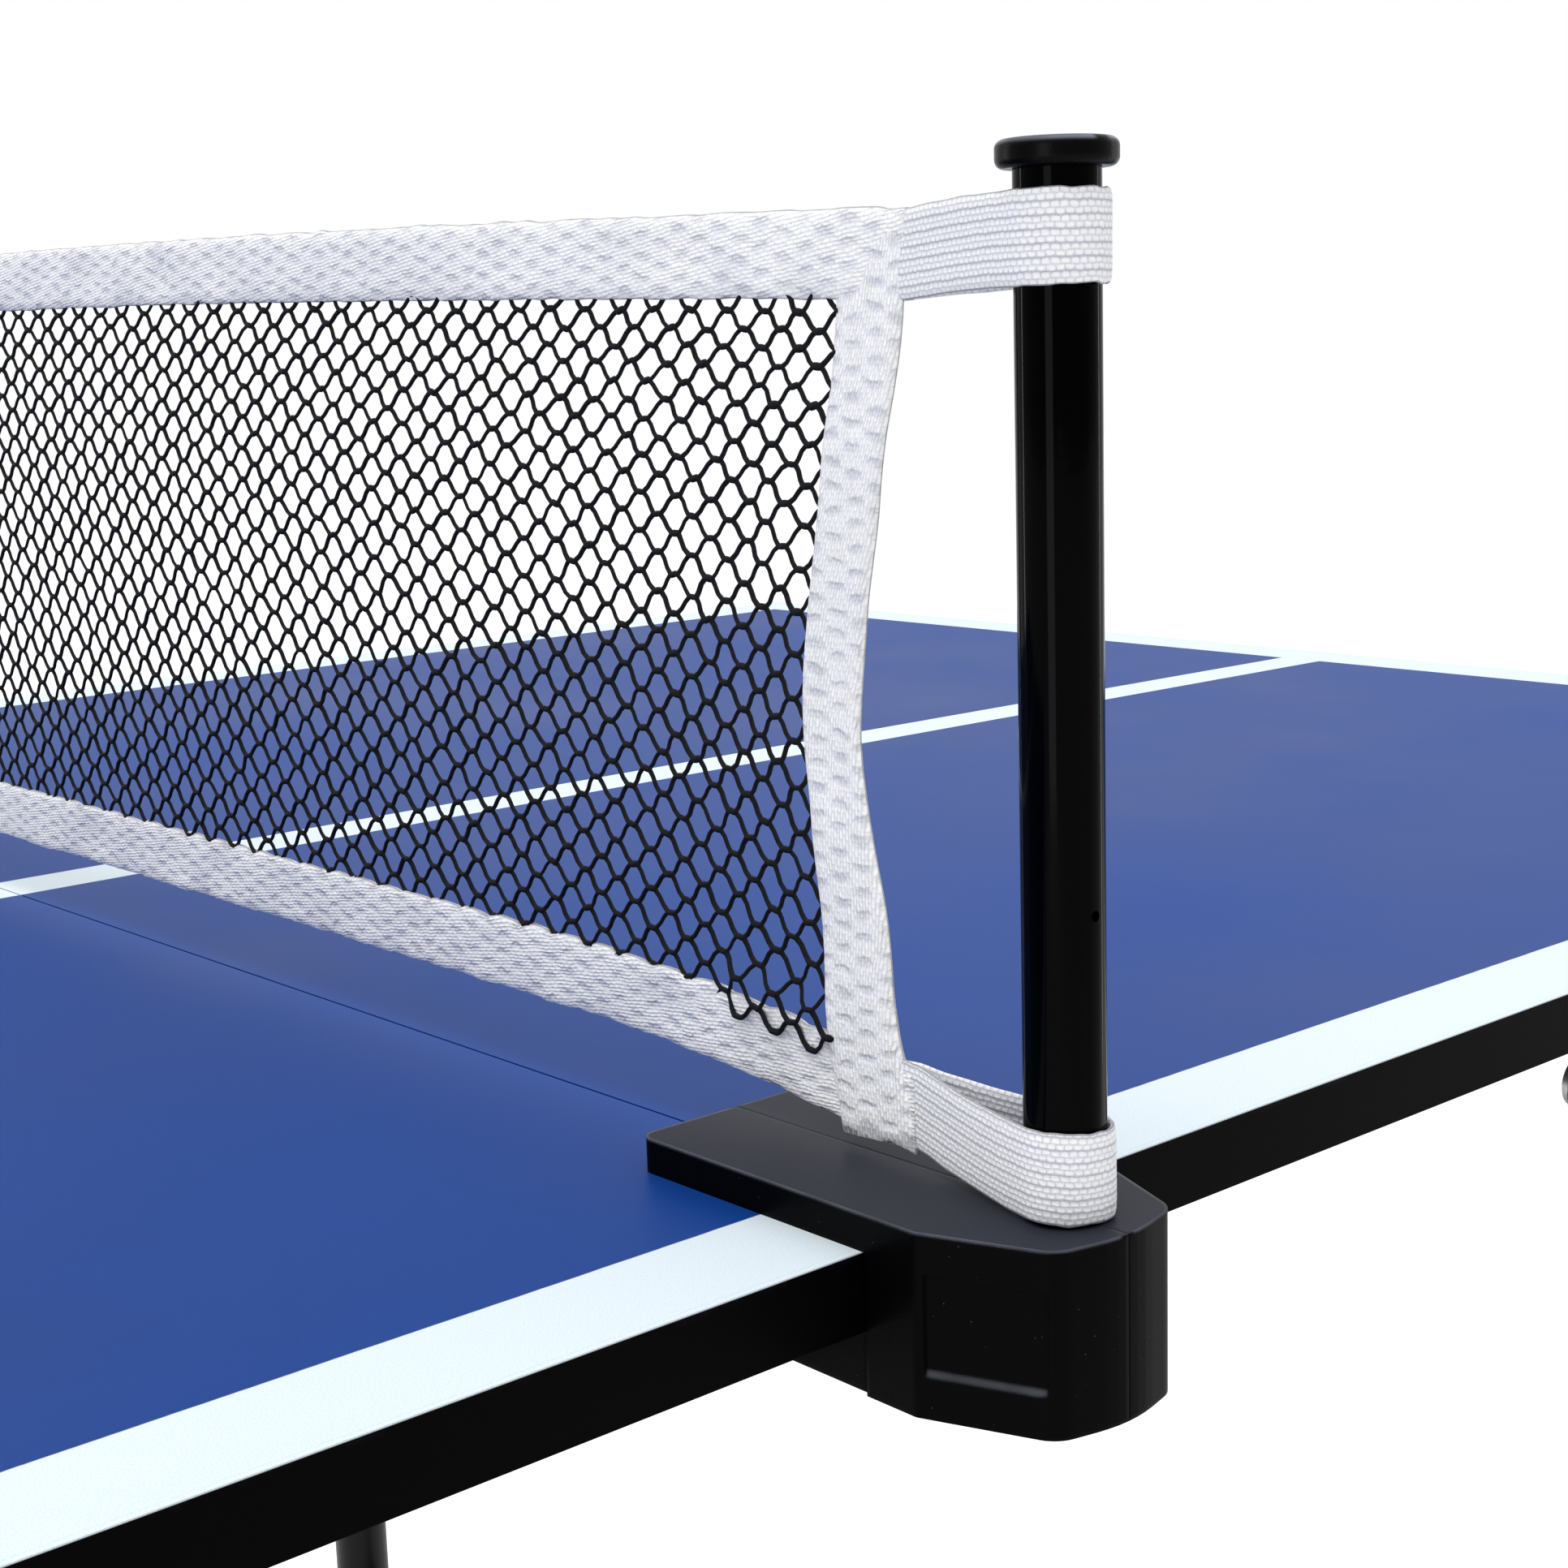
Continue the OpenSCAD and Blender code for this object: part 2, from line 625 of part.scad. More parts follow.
module post(sy) {
    color([0.04, 0.04, 0.045]) at_edge(sy) difference() {
        translate([0, post_offset, -socket_floor + 0.2])
            cylinder(r = post_r, h = post_top + socket_floor - 0.2);
        translate([0, post_offset, -socket_floor - cut])
            cylinder(r = post_r - post_wall, h = post_top + socket_floor + 2 * cut);
        translate([0, post_offset, post_hole_z]) bar_y(post_hole_d, 0, post_diameter);
    }
}

module post_caps() {
    plug_r = post_r - post_wall - push_gap;
    rim = cap_diameter / 2;
    color([0.05, 0.05, 0.055]) for (sy = ENDS) at_edge(sy)
        translate([0, post_offset, post_top]) rotate_extrude()
            polygon(rounded([[0, -12], [plug_r, -12], [plug_r, 0.05], [rim, 0.05],
                [rim, cap_height], [0, cap_height]], [0, 0, 0, 1.4, 1.4, 0]));
}

// ---- Net ----

// Distance of the side tape's outer edge from the table's side, at height z
function waist(z) = net_end + net_waist * (1 - pow(2 * (z - net_bottom) / net_strip - 1, 2));
function waist_line(z0, z1, inset) = [for (i = [0 : waist_steps])
    let (z = z0 + (z1 - z0) * i / waist_steps) [half_width - waist(z) - inset, z]];
function flip(pts) = [for (i = [len(pts) - 1 : -1 : 0]) pts[i]];
function other_side(pts) = [for (p = pts) [-p.x, p.y]];

// A flat sheet in the net's plane from an outline in (y, height above the table)
module net_sheet(pts, thickness) {
    translate([-thickness / 2, 0, table_height]) rotate([90, 0, 90])
        linear_extrude(height = thickness) polygon(pts);
}

module net_mesh() {
    low = inner_low + soft_gap;
    high = inner_high - soft_gap;
    right = waist_line(low, high, tape_width + soft_gap);
    color([0.05, 0.05, 0.06])
        net_sheet(concat(right, other_side(flip(right))), mesh_thickness);
}

module net_tape(z0, z1) {
    right = waist_line(z0, z1, 0);
    color([0.9, 0.92, 0.96])
        net_sheet(concat(right, other_side(flip(right))), tape_thickness);
}

module net_side_tapes() {
    low = inner_low + soft_gap;
    high = inner_high - soft_gap;
    color([0.9, 0.92, 0.96]) for (sy = ENDS) mirror([0, sy == FRONT ? 1 : 0, 0])
        net_sheet(concat(waist_line(low, high, 0), flip(waist_line(low, high, tape_width))),
            tape_thickness);
}

// Drop outline around the post: an arc and its two tangents to a point on the net
function drop(r, tip) =
    let (a = acos(r / tip), turn = 360 - 2 * a)
    [[0, -tip], for (i = [0 : drop_steps])
        let (t = a - 90 + turn * i / drop_steps) r * [cos(t), sin(t)]];

module elastic_loop(z0) {
    tip = post_offset + net_end - soft_gap;
    for (sy = ENDS) at_edge(sy) translate([0, post_offset, z0])
        linear_extrude(height = band_height) difference() {
            intersection() {
                polygon(drop(loop_r + elastic_thickness, tip + elastic_thickness * 3));
                translate([-post_diameter, -tip]) square([2 * post_diameter, tip + post_diameter]);
            }
            polygon(drop(loop_r, tip - elastic_thickness * 2));
        }
}

module upper_loops() {
    color([0.92, 0.93, 0.95]) elastic_loop(high_band_z);
}

module lower_loops() {
    color([0.92, 0.93, 0.95]) elastic_loop(low_band_z);
}

// ---- Drawing ----

top_board(LEFT);  // left_top_board
top_board(RIGHT);  // right_top_board
edge_band(LEFT);  // left_edge_band
edge_band(RIGHT);  // right_edge_band
side_rail(LEFT, FRONT);  // left_front_rail
side_rail(LEFT, REAR);  // left_rear_rail
cross_rail(end_rail_mid(LEFT), false);  // left_end_rail
cross_rail(centre_rail_x(LEFT), true);  // left_centre_rail
side_rail(RIGHT, FRONT);  // right_front_rail
side_rail(RIGHT, REAR);  // right_rear_rail
cross_rail(end_rail_mid(RIGHT), false);  // right_end_rail
cross_rail(centre_rail_x(RIGHT), true);  // right_centre_rail
joining_bolts();
board_screws();
pivot_plate(LEFT, FRONT);  // left_front_plate
pivot_plate(LEFT, REAR);  // left_rear_plate
pivot_plate(RIGHT, FRONT);  // right_front_plate
pivot_plate(RIGHT, REAR);  // right_rear_plate
leg(LEFT, FRONT);  // left_front_leg
leg(LEFT, REAR);  // left_rear_leg
leg(RIGHT, FRONT);  // right_front_leg
leg(RIGHT, REAR);  // right_rear_leg
stretcher(LEFT);  // left_stretcher
stretcher(RIGHT);  // right_stretcher
leg_pivot_bolts();
stays(LEFT);  // left_stays
stays(RIGHT);  // right_stays
stay_rivets(LEFT);  // left_stay_rivets
stay_rivets(RIGHT);  // right_stay_rivets
slide_shoes(LEFT);  // left_slide_shoes
slide_shoes(RIGHT);  // right_slide_shoes
leg_plugs(LEFT);  // left_leg_plugs
leg_plugs(RIGHT);  // right_leg_plugs
foot(LEFT, FRONT);  // left_front_foot
foot(LEFT, REAR);  // left_rear_foot
foot(RIGHT, FRONT);  // right_front_foot
foot(RIGHT, REAR);  // right_rear_foot
clamp_shell(FRONT, LEFT);  // front_clamp_left_shell
clamp_shell(FRONT, RIGHT);  // front_clamp_right_shell
clamp_shell(REAR, LEFT);  // rear_clamp_left_shell
clamp_shell(REAR, RIGHT);  // rear_clamp_right_shell
jaw(FRONT);  // front_jaw
jaw(REAR);  // rear_jaw
jaw_pins();
jaw_springs();
clamp_screws();
post(FRONT);  // front_post
post(REAR);  // rear_post
post_caps();
net_mesh();
net_tape(inner_high, net_top);  // net_top_tape
net_tape(net_bottom, inner_low);  // net_bottom_tape
net_side_tapes();
upper_loops();
lower_loops();
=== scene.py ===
import math

import bpy
import numpy as np
from mathutils import Matrix, Vector


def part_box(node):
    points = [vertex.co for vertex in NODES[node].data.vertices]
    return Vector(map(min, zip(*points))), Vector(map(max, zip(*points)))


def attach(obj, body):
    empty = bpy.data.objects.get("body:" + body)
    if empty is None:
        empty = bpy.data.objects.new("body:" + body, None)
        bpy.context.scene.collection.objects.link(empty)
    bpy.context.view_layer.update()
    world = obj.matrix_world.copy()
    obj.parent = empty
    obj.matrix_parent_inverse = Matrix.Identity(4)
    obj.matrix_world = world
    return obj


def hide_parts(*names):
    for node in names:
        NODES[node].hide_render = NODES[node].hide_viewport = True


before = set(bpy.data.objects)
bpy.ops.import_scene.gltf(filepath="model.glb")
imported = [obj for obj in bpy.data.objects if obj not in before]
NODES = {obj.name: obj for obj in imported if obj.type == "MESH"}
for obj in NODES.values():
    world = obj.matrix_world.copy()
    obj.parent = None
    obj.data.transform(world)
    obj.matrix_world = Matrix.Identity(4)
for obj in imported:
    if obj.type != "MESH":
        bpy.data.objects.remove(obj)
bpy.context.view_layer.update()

MM = 0.001
band_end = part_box("right_edge_band")[1]
post_lo, post_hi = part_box("front_post")
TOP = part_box("right_top_board")[1].z      # playing surface
HALF_W = band_end.y                       # table's side edge
HALF_L = band_end.x                       # table's end edge
POST_R = (post_hi.x - post_lo.x) / 2
POST_OUT = -HALF_W - (post_hi.y + post_lo.y) / 2   # post axis outside the side edge
SPAN = 2 * HALF_W / MM                    # table's width, mm

LINE_W = 0.025                            # side and end lines
CENTRE_W = 0.020                          # line down the middle
COLUMN = 10.9                             # between the net's knots along a row, mm
ROWS = 41                                 # rows of knots


def heights(node):
    """A node's lower and upper end above the playing surface, mm."""
    lo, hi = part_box(node)
    return [(lo.z - TOP) / MM, (hi.z - TOP) / MM]


TOP_TAPE = heights("net_top_tape")
LOW_TAPE = heights("net_bottom_tape")
UPPER_BAND = heights("upper_loops")
LOWER_BAND = heights("lower_loops")


# ---- Camera ----

def make_camera():
    """The camera as fitted to the photograph."""
    photo_px, focal_px, sensor_mm = 1932, 3026.8, 36
    azimuth, elevation, roll = map(math.radians, (48.561, -10.388, -1.685))
    eye = Vector((-0.28288, -HALF_W - 0.27863, TOP + 0.14785))
    ahead = Vector((math.cos(elevation) * math.cos(azimuth),
                    math.cos(elevation) * math.sin(azimuth), math.sin(elevation)))
    right = ahead.cross(Vector((0, 0, 1))).normalized()
    up = right.cross(ahead)
    right, up = (math.cos(roll) * right + math.sin(roll) * up,
                 -math.sin(roll) * right + math.cos(roll) * up)
    data = bpy.data.cameras.new("camera")
    data.sensor_width = sensor_mm
    data.lens = focal_px / photo_px * sensor_mm
    data.clip_start, data.clip_end = 0.01, 100
    cam = bpy.data.objects.new("camera", data)
    cam.matrix_world = Matrix((
        (right.x, up.x, -ahead.x, eye.x), (right.y, up.y, -ahead.y, eye.y),
        (right.z, up.z, -ahead.z, eye.z), (0, 0, 0, 1)))
    bpy.context.scene.collection.objects.link(cam)
    bpy.context.scene.camera = cam


make_camera()


# ---- Material nodes ----

def srgb(r, g, b):
    """Linear RGBA from a colour given as 0 to 255."""
    return tuple(c / 255 / 12.92 if c <= 10 else ((c / 255 + 0.055) / 1.055) ** 2.4
                 for c in (r, g, b)) + (1.0,)


class Nodes:
    """A material's node tree with short calls for the nodes used here."""

    def __init__(self, name):
        self.mat = bpy.data.materials.new(name)
        self.mat.use_nodes = True
        self.tree = self.mat.node_tree
        self.bsdf = self.tree.nodes["Principled BSDF"]
        self.coords = {}

    def new(self, kind):
        return self.tree.nodes.new("ShaderNode" + kind)

    def link(self, a, b):
        self.tree.links.new(a, b)

    def put(self, socket, value):
        if isinstance(value, bpy.types.NodeSocket):
            self.link(value, socket)
        else:
            socket.default_value = value

    def set(self, **values):
        for key, value in values.items():
            self.put(self.bsdf.inputs[key.replace("_", " ")], value)
        return self

    def coord(self, kind="Object"):
        if kind not in self.coords:
            self.coords[kind] = self.new("TexCoord").outputs[kind]
        return self.coords[kind]

    def uv(self):
        node = self.new("UVMap")
        node.uv_map = "UVMap"
        return node.outputs[0]

    def math(self, op, a, b=0.0, clamp=False):
        node = self.new("Math")
        node.operation, node.use_clamp = op, clamp
        for socket, value in zip(node.inputs, (a, b)):
            self.put(socket, value)
        return node.outputs[0]

    def add(self, a, b, clamp=False):
        return self.math("ADD", a, b, clamp)

    def times(self, a, b):
        return self.math("MULTIPLY", a, b)

    def shift(self, noise, reach):
        """Noise about 0.5 turned into a shift both ways."""
        return self.times(self.math("SUBTRACT", noise, 0.5), reach)

    def arch(self, value):
        """The sine's half wave over each 0 to 1."""
        return self.math("SINE", self.times(value, math.pi))

    def split(self, vector):
        node = self.new("SeparateXYZ")
        self.link(vector, node.inputs[0])
        return node.outputs

    def noise(self, scale, detail=2.0, roughness=0.5, vector=None, stretch=None):
        vector = vector or self.coord()
        if stretch:
            node = self.new("Mapping")
            self.link(vector, node.inputs[0])
            node.inputs["Scale"].default_value = stretch
            vector = node.outputs[0]
        node = self.new("TexNoise")
        self.link(vector, node.inputs["Vector"])
        node.inputs["Scale"].default_value = scale
        node.inputs["Detail"].default_value = detail
        node.inputs["Roughness"].default_value = roughness
        return node.outputs[0]

    def spots(self, scale):
        node = self.new("TexVoronoi")
        self.link(self.coord(), node.inputs["Vector"])
        node.inputs["Scale"].default_value = scale
        return node.outputs["Distance"]

    def ramp(self, value, lo, hi, out_lo=0.0, out_hi=1.0, smooth=False):
        node = self.new("MapRange")
        node.interpolation_type = "SMOOTHSTEP" if smooth else "LINEAR"
        for socket, v in zip(node.inputs, (value, lo, hi, out_lo, out_hi)):
            self.put(socket, v)
        return node.outputs[0]

    def mix(self, share, a, b):
        node = self.new("Mix")
        node.data_type = "RGBA"
        for index, value in ((0, share), (6, a), (7, b)):
            self.put(node.inputs[index], value)
        return node.outputs[2]

    def rounded_normal(self, radius):
        node = self.new("Bevel")
        node.samples = 6
        node.inputs["Radius"].default_value = radius
        return node.outputs[0]

    def bump(self, height, distance, strength, rounded=0.0):
        node = self.new("Bump")
        node.inputs["Strength"].default_value = strength
        node.inputs["Distance"].default_value = distance
        self.link(height, node.inputs["Height"])
        if rounded:
            self.link(self.rounded_normal(rounded), node.inputs["Normal"])
        self.link(node.outputs[0], self.bsdf.inputs["Normal"])


# ---- Materials ----

def moulded(name, colour, roughness, grain=2600, depth=0.00006, specular=0.3, rounded=0.0,
            dust=0.0, lit_top=None):
    """Moulded plastic with a fine grain and a cloudy gloss.

    rounded is the radius its edges are shaded with, dust the strength of its pale specks, and
    the last colour is painted light on faces that look up, with a painted highlight on the rim.
    """
    m = Nodes(name)
    cloud = m.noise(14, 3)
    fine = m.noise(grain, 2)
    lighter = tuple(min(1, c * 1.4 + 0.0004) for c in colour[:3]) + (1,)
    tone = m.mix(m.ramp(cloud, 0.3, 0.75), colour, lighter)
    if lit_top:
        # painted light: faces that look up are painted in a lighter colour, as if lit from above
        up = m.split(m.coord("Normal"))[2]
        lit_share = m.times(m.ramp(up, 0.5, 0.95), m.ramp(fine, 0.2, 0.8, 0.8, 1.0))
        tone = m.mix(lit_share, tone, lit_top)
        # painted highlight: the rounded rim of the upward faces is painted light grey, in patches
        turned = m.split(m.rounded_normal(rounded))[2]
        rim = m.times(m.ramp(turned, 0.35, 0.7), m.ramp(turned, 0.98, 0.85))
        # the painted highlight is kept off the joint between the two shells, in the plane x = 0
        from_joint = m.math("ABSOLUTE", m.split(m.coord())[0])
        rim = m.times(rim, m.ramp(from_joint, 0.001, 0.002))
        painted_highlight = m.times(rim, m.ramp(m.noise(60, 3), 0.3, 0.7, 0.35, 1.0))
        tone = m.mix(painted_highlight, tone, srgb(118, 122, 133))
    if dust:
        speck = m.ramp(m.spots(420), 0.045, 0.02, 0, dust)
        tone = m.mix(speck, tone, srgb(150, 150, 150))
    m.set(Base_Color=tone,
          Roughness=m.ramp(m.add(cloud, m.times(fine, 0.4)), 0.4, 1.1,
                           roughness - 0.06, roughness + 0.08),
          Specular_IOR_Level=specular)
    m.bump(fine, depth, 0.5, rounded)
    return m.mat


def powder_coat(name, colour, roughness=0.42):
    """Powder-coated steel: orange peel, with worn, brighter spots here and there."""
    m = Nodes(name)
    peel = m.noise(900, 2)
    scuff = m.ramp(m.noise(60, 6, 0.7), 0.66, 0.74, 0, 0.35)
    m.set(Base_Color=m.mix(scuff, colour, srgb(58, 58, 60)),
          Roughness=m.ramp(peel, 0.3, 0.7, roughness - 0.05, roughness + 0.07),
          Specular_IOR_Level=0.2)
    m.bump(peel, 0.00012, 0.45)
    return m.mat


def zinc(name, roughness=0.34):
    """Zinc-plated steel: spangled tone and short scratches."""
    m = Nodes(name)
    spangle = m.ramp(m.noise(160, 3), 0.35, 0.65)
    scratch = m.noise(500, 3, 0.6, stretch=(1, 14, 14))
    m.set(Base_Color=m.mix(spangle, srgb(150, 152, 154), srgb(190, 191, 190)), Metallic=1.0,
          Roughness=m.ramp(scratch, 0.35, 0.65, roughness - 0.08, roughness + 0.1))
    m.bump(scratch, 0.00003, 0.35)
    return m.mat


def rubber(name):
    """Dull black rubber, greyer in patches."""
    m = Nodes(name)
    grain = m.noise(1500, 3)
    m.set(Base_Color=m.mix(m.ramp(m.noise(40, 4), 0.4, 0.7), srgb(24, 24, 25), srgb(44, 43, 42)),
          Roughness=m.ramp(grain, 0.3, 0.7, 0.72, 0.88), Specular_IOR_Level=0.25)
    m.bump(grain, 0.00015, 0.5)
    return m.mat


def line_white(m, fine):
    """The lines' paint, the same on the boards and on the bands."""
    return m.mix(m.ramp(fine, 0.35, 0.6), srgb(196, 209, 217), srgb(212, 222, 228))


def playing_surface():
    """Blue lacquer with painted lines, black at the side faces and below."""
    m = Nodes("playing_surface")
    blur = 0.00015                        # half the width of a line's soft edge
    x, y, z = m.split(m.coord())[:3]
    wander = m.shift(m.noise(220, 2), 0.0003)
    along = m.add(m.math("ABSOLUTE", x), wander)
    aside = m.add(m.math("ABSOLUTE", y), wander)
    side = m.ramp(aside, HALF_W - LINE_W - blur, HALF_W - LINE_W + blur)
    end = m.ramp(along, HALF_L - LINE_W - blur, HALF_L - LINE_W + blur)
    middle = m.ramp(aside, CENTRE_W / 2 + blur, CENTRE_W / 2 - blur)
    line = m.math("MAXIMUM", m.math("MAXIMUM", side, end), middle)
    fine = m.noise(3200, 3, 0.6)
    cloud = m.noise(5, 4, 0.55)
    blue = m.mix(m.ramp(cloud, 0.35, 0.7), srgb(8, 52, 122), srgb(14, 60, 134))
    blue = m.mix(m.times(m.ramp(fine, 0.45, 0.75), 0.2), blue, srgb(30, 80, 152))
    speck = m.times(m.ramp(m.spots(900), 0.12, 0.05, 0, 0.5), m.ramp(m.noise(30, 2), 0.45, 0.7))
    white = m.mix(speck, line_white(m, fine), srgb(150, 168, 178))
    face = m.ramp(z, TOP - 0.0004, TOP - 0.0002)
    m.set(Base_Color=m.mix(face, srgb(14, 14, 15), m.mix(line, blue, white)),
          Roughness=m.ramp(m.add(cloud, m.times(fine, 0.5)), 0.5, 1.0, 0.4, 0.54),
          Specular_IOR_Level=0.08)
    m.bump(m.add(fine, m.times(line, 1.5)), 0.00004, 0.5)
    return m.mat


def edge_band():
    """The line's white runs over the band's top; its side is black, lighter and
    bluish in patches just below its top edge.
    """
    m = Nodes("edge_band")
    z = m.split(m.coord())[2]
    fine = m.noise(2400, 3, 0.6)
    edge_tint = m.times(m.ramp(z, TOP - 0.0016, TOP - 0.0002),
                  m.ramp(m.noise(90, 5, 0.7), 0.5, 0.7, 0, 0.5))
    side = m.mix(edge_tint, srgb(2, 2, 3), srgb(26, 30, 42))
    face = m.ramp(z, TOP - 0.0003, TOP - 0.0001)
    m.set(Base_Color=m.mix(face, side, line_white(m, fine)),
          Roughness=m.ramp(fine, 0.3, 0.7, 0.4, 0.55), Specular_IOR_Level=0.02)
    m.bump(fine, 0.00005, 0.5, rounded=0.0004)
    return m.mat


def weave(m, along, across, pitch, width):
    """Height of a woven ribbon's stitches: rows of short bumps, every other row half a pitch on."""
    row = m.math("DIVIDE", across, width)
    on = m.times(m.math("MODULO", m.math("FLOOR", row), 2.0), 0.5)
    in_stitch = m.math("FRACT", m.add(m.math("DIVIDE", along, pitch), on))
    return m.times(m.arch(m.math("FRACT", row)), m.math("POWER", m.arch(in_stitch), 0.6))


def tape_cloth():
    """White knitted tape: the net's knots below pull it in at staggered points."""
    m = Nodes("tape_cloth")
    pitch, width, slope = 0.0019, 0.00072, 0.16       # of a stitch
    between_rows = 0.0042                             # from hollow to hollow, upwards
    u, v = m.split(m.uv())[:2]
    y, z = m.split(m.coord())[1:3]
    stray = m.shift(m.noise(150, 2), 0.004)
    column = m.times(m.add(y, stray), 2 * math.pi / (COLUMN * MM))
    row = m.times(m.add(z, stray), 2 * math.pi / between_rows)
    lattice = m.times(m.math("COSINE", column), m.math("COSINE", row))
    hollow = m.ramp(lattice, -0.2, 1.0, smooth=True)
    lift = m.shift(m.noise(260, 2, vector=m.uv()), 0.0007)
    slant = m.add(m.add(v, m.times(u, slope)), lift)
    stitch = weave(m, m.add(u, lift), slant, pitch, width)
    fuzz = m.noise(4200, 3, 0.65)
    patch = m.noise(420, 3, 0.6)
    height = m.add(m.times(stitch, m.ramp(patch, 0.3, 0.6, 0.3, 0.9)), m.times(fuzz, 0.6))
    # painted shade: the hollows at the knots and the low points between stitches are painted a
    # darker bluish grey
    shade = m.add(m.times(hollow, m.ramp(m.noise(90, 3), 0.3, 0.65, 0.08, 0.34)),
                  m.times(m.ramp(height, 0.7, 0.15), 0.36), clamp=True)
    m.set(Base_Color=m.mix(shade, srgb(252, 252, 253), srgb(150, 158, 182)),
          Roughness=m.ramp(fuzz, 0.3, 0.7, 0.78, 0.92), Specular_IOR_Level=0.12,
          Sheen_Weight=0.15, Sheen_Roughness=0.5)
    m.bump(m.math("SUBTRACT", height, m.times(hollow, 1.6)), 0.0005, 0.8)
    return m.mat


def elastic_cloth():
    """White elastic: soft ribs along the band, each two rows of small knitted stitches."""
    m = Nodes("elastic_cloth")
    pitch, width = 0.00135, 0.00102                   # of a stitch
    u, v = m.split(m.uv())[:2]
    slip = m.shift(m.noise(500, 2, vector=m.uv()), 0.0006)
    stitch = weave(m, m.add(u, slip), m.add(v, slip), pitch, width)
    rib = m.arch(m.math("FRACT", m.math("DIVIDE", v, 2 * width)))
    fuzz = m.noise(4200, 3, 0.65)
    height = m.add(m.times(stitch, 0.6), m.add(m.times(rib, 0.25), m.times(fuzz, 0.6)))
    # painted shade: the low points of the stitches and ribs are painted a darker bluish grey
    m.set(Base_Color=m.mix(m.ramp(height, 0.85, 0.25), srgb(243, 243, 247), srgb(172, 176, 190)),
          Roughness=m.ramp(fuzz, 0.3, 0.7, 0.72, 0.88), Specular_IOR_Level=0.15,
          Sheen_Weight=0.15, Sheen_Roughness=0.5)
    m.bump(height, 0.0006, 0.8)
    return m.mat


def net_yarn():
    """Black twisted yarn."""
    m = Nodes("net_yarn")
    twist = m.noise(2600, 3, 0.6, stretch=(1, 1.8, 0.8))
    m.set(Base_Color=m.mix(m.ramp(twist, 0.35, 0.65), srgb(5, 5, 7), srgb(24, 25, 30)),
          Roughness=m.ramp(twist, 0.3, 0.7, 0.6, 0.8), Specular_IOR_Level=0.12)
    m.bump(twist, 0.0002, 0.7)
    return m.mat


FINISH = {
    "playing_surface": playing_surface(),
    "edge_band": edge_band(),
    "frame_coat": powder_coat("frame_coat", srgb(20, 20, 21)),
    "leg_coat": powder_coat("leg_coat", srgb(16, 16, 17), 0.36),
    "zinc": zinc("zinc"),
    "stay_zinc": zinc("stay_zinc", 0.4),
    "spring_steel": zinc("spring_steel", 0.28),
    "black_plastic": moulded("black_plastic", srgb(20, 20, 21), 0.5),
    "foot_rubber": rubber("foot_rubber"),
    # clamps and caps: painted light on their upward faces and a painted highlight along their rim
    "clamp_plastic": moulded("clamp_plastic", srgb(2, 2, 3), 0.36, specular=0.025,
                             rounded=0.0012, dust=0.3, lit_top=srgb(46, 48, 57)),
    "post_gloss": moulded("post_gloss", srgb(1, 1, 2), 0.1, grain=500, depth=0.00001,
                          specular=0.03),
    "cap_plastic": moulded("cap_plastic", srgb(4, 4, 5), 0.28, specular=0.05,
                           rounded=0.0006, lit_top=srgb(34, 34, 37)),
}


def both(first, second, *names):
    """Each name with each of the two words before it."""
    return [word + name for word in (first, second) for name in names]


FINISH_OF = {
    "playing_surface": both("left_", "right_", "top_board"),
    "edge_band": both("left_", "right_", "edge_band"),
    "frame_coat": both("left_", "right_", "front_rail", "rear_rail", "end_rail", "centre_rail",
                       "front_plate", "rear_plate"),
    "leg_coat": both("left_", "right_", "front_leg", "rear_leg", "stretcher"),
    "zinc": ["joining_bolts", "board_screws", "leg_pivot_bolts", "jaw_pins", "clamp_screws",
             *both("left_", "right_", "stay_rivets")],
    "stay_zinc": both("left_", "right_", "stays"),
    "spring_steel": ["jaw_springs"],
    "black_plastic": both("left_", "right_", "slide_shoes", "leg_plugs"),
    "foot_rubber": both("left_", "right_", "front_foot", "rear_foot"),
    "clamp_plastic": both("front_", "rear_", "clamp_left_shell", "clamp_right_shell", "jaw"),
    "post_gloss": both("front_", "rear_", "post"),
    "cap_plastic": ["post_caps"],
}


def paint(o, material):
    o.data.materials.clear()
    o.data.materials.append(material)


for finish, names in FINISH_OF.items():
    for name in names:
        paint(NODES[name], FINISH[finish])


# ---- Cloth: its points are worked out in mm ----

def mesh_object(name, verts, faces, material, uvs=None):
    data = bpy.data.meshes.new(name)
    data.from_pydata([tuple(v) for v in verts], [], faces)
    if uvs is not None:
        layer = data.uv_layers.new(name="UVMap")
        flat = np.array([uvs[i] for f in faces for i in f], np.float32)
        layer.data.foreach_set("uv", flat.ravel())
    data.validate()
    data.polygons.foreach_set("use_smooth", [True] * len(data.polygons))
    o = bpy.data.objects.new(name, data)
    bpy.context.scene.collection.objects.link(o)
    paint(o, material)
    return o


def xyz(x, inward, z):
    """Points from x, the distance inwards from the front edge and the height above the top."""
    return np.stack([x, inward - HALF_W / MM, z + TOP / MM], axis=-1)


def upright(half, like):
    """Half-width vectors of a band that stands on edge, one for each entry of like."""
    return np.stack([np.zeros_like(like), np.zeros_like(like), np.full_like(like, half)], axis=-1)


def share(value, start, end):
    """How far value has come from start to end, kept between 0 and 1."""
    return np.clip((value - start) / (end - start), 0, 1)


def unit(vectors):
    return vectors / np.linalg.norm(vectors, axis=-1)[..., None]


def wobble(seed, n, size, step):
    """n smooth seeded values of about that size, changing over about step entries."""
    r = np.random.default_rng(seed)
    knots = r.normal(0, 1, n // step + 4)
    t = np.arange(n) / step
    i = t.astype(int)
    w = (1 - np.cos((t - i) * math.pi)) / 2
    return size * (knots[i] * (1 - w) + knots[i + 1] * w)


